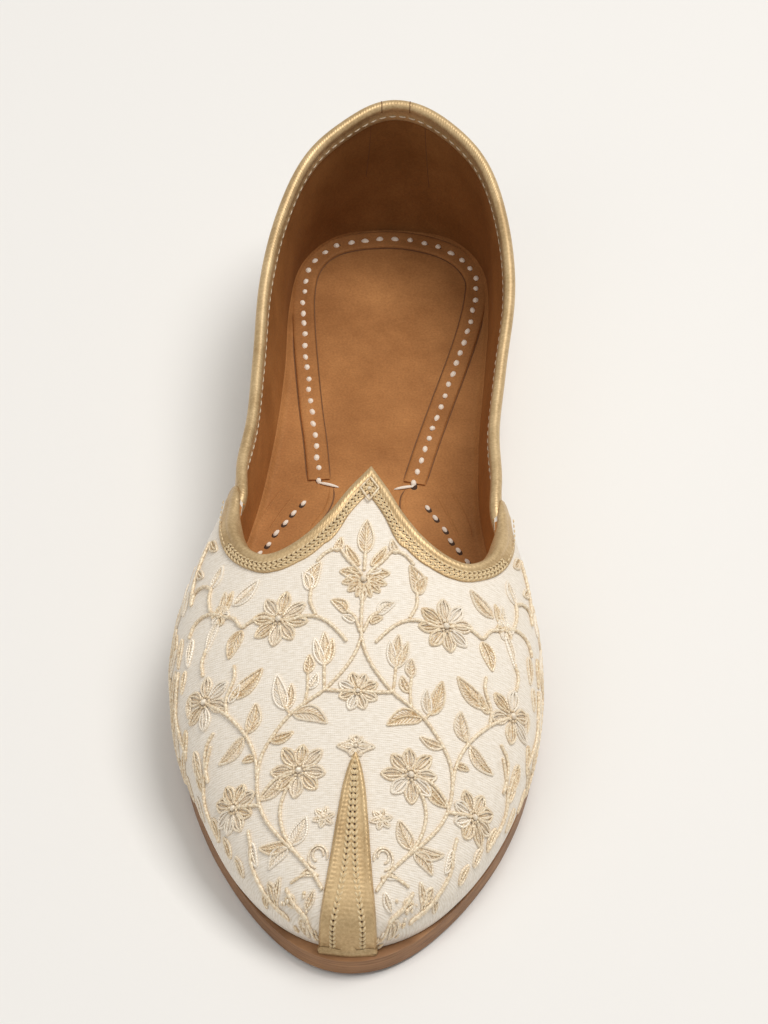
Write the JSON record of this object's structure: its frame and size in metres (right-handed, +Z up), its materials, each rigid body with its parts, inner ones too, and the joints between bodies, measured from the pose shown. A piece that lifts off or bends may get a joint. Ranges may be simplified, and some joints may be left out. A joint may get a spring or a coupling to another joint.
{
  "type": "mojari shoe",
  "caption": "Slip-on shoe for the right foot: flat leather sole, ivory embroidered vamp with a heart-shaped throat, gold edge bindings and a gold strip up the pointed toe.",
  "frame": {"origin": "on the floor under the middle of the shoe's bounding box", "axes": "+Z up, -Y towards the toe, +Y towards the heel, +X towards the medial (inner) side of this right shoe"},
  "size_m": [0.103, 0.28, 0.0624],
  "materials": {
    "sole_leather": "burnished edge",
    "lining_leather": "smooth, matt",
    "silk": "raw silk with cream and gold embroidery",
    "gold_leather": "foiled, antique gold"
  },
  "bodies": {
    "root": {"outsole": "sole_leather", "insole": "lining_leather", "upper": "lining_leather", "vamp": "silk", "vamp_binding": "gold_leather", "collar_binding": "gold_leather", "toe_strip": "gold_leather"}
  },
  "joints": []
}
